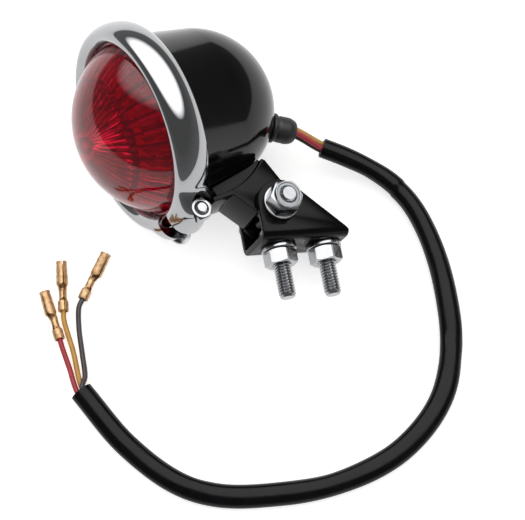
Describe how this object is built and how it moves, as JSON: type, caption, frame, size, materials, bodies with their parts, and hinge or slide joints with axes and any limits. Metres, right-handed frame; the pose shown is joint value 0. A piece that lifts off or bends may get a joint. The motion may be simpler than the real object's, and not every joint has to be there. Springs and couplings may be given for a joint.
{
  "type": "motorcycle tail light",
  "caption": "Small round motorcycle tail light: red domed lens in a chrome clamp ring, black bucket, pivoting stud bracket and a sleeved three-wire lead with crimped connectors.",
  "frame": {"origin": "on the table, under the middle of the lamp's own box (its lead left out)", "axes": "+Z is the table's normal; the lamp lies on its side with its lens facing -X and its bracket towards +X and -Y"},
  "size_m": [0.1422, 0.1569, 0.0689],
  "materials": {
    "chrome": "polished",
    "gloss_black": "gloss",
    "satin_black": "semi-gloss",
    "zinc": "bright zinc plate",
    "red_lens": "clear gloss",
    "white_plastic": "satin",
    "board_green": "satin",
    "led_resin": "clear gloss",
    "grommet_rubber": "matt",
    "gasket_rubber": "matt",
    "nylon": "satin",
    "sleeve_black": "gloss",
    "wire_yellow": "satin",
    "wire_red": "satin",
    "wire_black": "satin",
    "brass": "satin"
  },
  "bodies": {
    "head": {"board_carrier": "white_plastic", "board_screw_1": "zinc", "board_screw_2": "zinc", "cable_grommet": "grommet_rubber", "clamp_ring": "chrome", "connector_black": "brass", "connector_red": "brass", "connector_yellow": "brass", "foot_bracket": "satin_black", "housing": "gloss_black", "inner_lead_black": "wire_black", "inner_lead_red": "wire_red", "inner_lead_yellow": "wire_yellow", "led_1": "led_resin", "led_10": "led_resin", "led_11": "led_resin", "led_12": "led_resin", "led_2": "led_resin", "led_3": "led_resin", "led_4": "led_resin", "led_5": "led_resin", "led_6": "led_resin", "led_7": "led_resin", "led_8": "led_resin", "led_9": "led_resin", "led_board": "board_green", "lens": "red_lens", "lens_gasket": "gasket_rubber", "loom_sleeve": "sleeve_black", "reflector_tray": "white_plastic", "ring_nut": "zinc", "ring_screw": "zinc", "wire_black": "wire_black", "wire_red": "wire_red", "wire_yellow": "wire_yellow"},
    "bracket": {"base_bracket": "satin_black", "mount_bolt_front": "zinc", "mount_bolt_rear": "zinc", "mount_nut_front": "zinc", "mount_nut_rear": "zinc", "mount_washer_front": "zinc", "mount_washer_rear": "zinc", "pivot_bolt": "zinc", "pivot_nut": "zinc", "pivot_nut_insert": "nylon", "pivot_washer_head_side": "zinc", "pivot_washer_nut_side": "zinc"}
  },
  "joints": [
    {"name": "bracket_pivot", "type": "hinge", "parent": "head", "child": "bracket", "pos_m": [0.02005, -0.01608, 0.01807], "axis": [0.3682, 0.0208, 0.9295], "range_deg": [-8, 35]}
  ]
}
